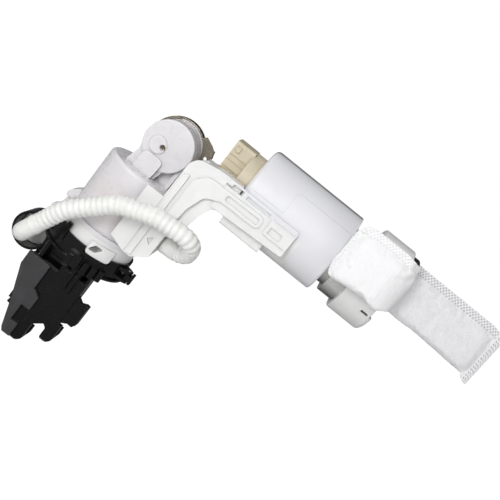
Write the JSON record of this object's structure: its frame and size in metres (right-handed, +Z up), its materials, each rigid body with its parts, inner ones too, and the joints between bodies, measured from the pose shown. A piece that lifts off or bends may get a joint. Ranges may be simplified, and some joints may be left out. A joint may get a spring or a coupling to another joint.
{
  "type": "in-tank fuel pump module",
  "caption": "Electric in-tank fuel pump on an L-shaped arm with filter canister, pressure regulator, strainer sock, corrugated hose and black hook bracket.",
  "frame": {"origin": "centre of the lower hook's throat", "axes": "+Z up along the filter canister, +X along the pump towards the strainer, -Y towards the side with the hose"},
  "size_m": [0.225, 0.061, 0.1644],
  "materials": {
    "white_acetal": "satin moulded, slightly translucent",
    "canister_plastic": "translucent natural, faint pink",
    "natural_plastic": "semi-gloss natural",
    "cream_plastic": "semi-gloss",
    "black_plastic": "gloss",
    "grey_black_plastic": "fine matte",
    "black_rubber": "matte",
    "spring_steel": "bright rolled",
    "can_steel": "bright plated, dark",
    "bright_steel": "bright",
    "motor_steel": "laminated",
    "copper": "bright",
    "sintered_bronze": "matte",
    "ferrite": "matte",
    "carbon": "matte",
    "filter_paper": "matte, pleated",
    "strainer_fabric": "spun-bonded, welded seams"
  },
  "bodies": {
    "module": {"filter_housing": "canister_plastic", "filter_base_cap": "white_acetal", "ground_tab": "bright_steel", "filter_seal": "black_rubber", "filter_element": "filter_paper", "filter_core_tube": "black_plastic", "filter_end_plates": "black_plastic", "regulator_body": "bright_steel", "regulator_seat": "sintered_bronze", "regulator_oring": "black_rubber", "regulator_diaphragm": "black_rubber", "regulator_spring": "spring_steel", "regulator_cover": "bright_steel", "regulator_clip": "spring_steel", "bracket_arm": "white_acetal", "pump_holder": "white_acetal", "pump_isolator": "black_rubber", "holder_end_cover": "white_acetal", "end_bumper": "black_rubber", "pump_shell": "can_steel", "pump_end_head": "cream_plastic", "outlet_oring": "black_rubber", "check_valve_spring": "spring_steel", "relief_valve_spring": "spring_steel", "terminal_blades": "copper", "motor_magnets": "ferrite", "brush_springs": "spring_steel", "shaft_bushings": "sintered_bronze", "pump_casing": "cream_plastic", "inlet_cover": "cream_plastic", "strainer_bag": "strainer_fabric", "strainer_neck": "white_acetal", "strainer_frame": "natural_plastic", "fuel_hose": "natural_plastic", "hose_nipple": "natural_plastic", "outlet_cup": "black_plastic", "hook_bracket": "black_plastic", "front_plate": "grey_black_plastic", "latch_pin": "bright_steel"},
    "rotor": {"shaft": "bright_steel", "armature": "motor_steel", "armature_windings": "copper", "commutator": "copper", "impeller": "cream_plastic"},
    "upper_brush": {"upper_brush": "carbon"},
    "lower_brush": {"lower_brush": "carbon"},
    "check_valve": {"check_valve_poppet": "white_acetal"},
    "relief_valve": {"relief_valve_ball": "bright_steel"},
    "regulator_valve": {"regulator_valve": "bright_steel"},
    "latch": {"collar_latch": "black_plastic"}
  },
  "joints": [
    {"name": "rotor_spin", "type": "hinge", "parent": "module", "child": "rotor", "pos_m": [0.0631, 0.0056, 0.1316], "axis": [1, 0, 0], "continuous": true},
    {"name": "upper_brush_slide", "type": "slide", "parent": "module", "child": "upper_brush", "axis": [0, 0, 1], "range_m": [0, 0.0015], "deforming": ["brush_springs"]},
    {"name": "lower_brush_slide", "type": "slide", "parent": "module", "child": "lower_brush", "axis": [0, 0, -1], "range_m": [0, 0.0015], "deforming": ["brush_springs"]},
    {"name": "check_valve_lift", "type": "slide", "parent": "module", "child": "check_valve", "axis": [-1, 0, 0], "range_m": [0, 0.0015], "deforming": ["check_valve_spring"]},
    {"name": "relief_valve_lift", "type": "slide", "parent": "module", "child": "relief_valve", "axis": [-1, 0, 0], "range_m": [0, 0.0012], "deforming": ["relief_valve_spring"]},
    {"name": "regulator_valve_lift", "type": "slide", "parent": "module", "child": "regulator_valve", "axis": [0, 1, 0], "range_m": [0, 0.001], "deforming": ["regulator_spring"]},
    {"name": "collar_latch_hinge", "type": "hinge", "parent": "module", "child": "latch", "pos_m": [0.0282, -0.0004, 0.0563], "axis": [0, 0, -1], "range_deg": [0, 25]}
  ]
}
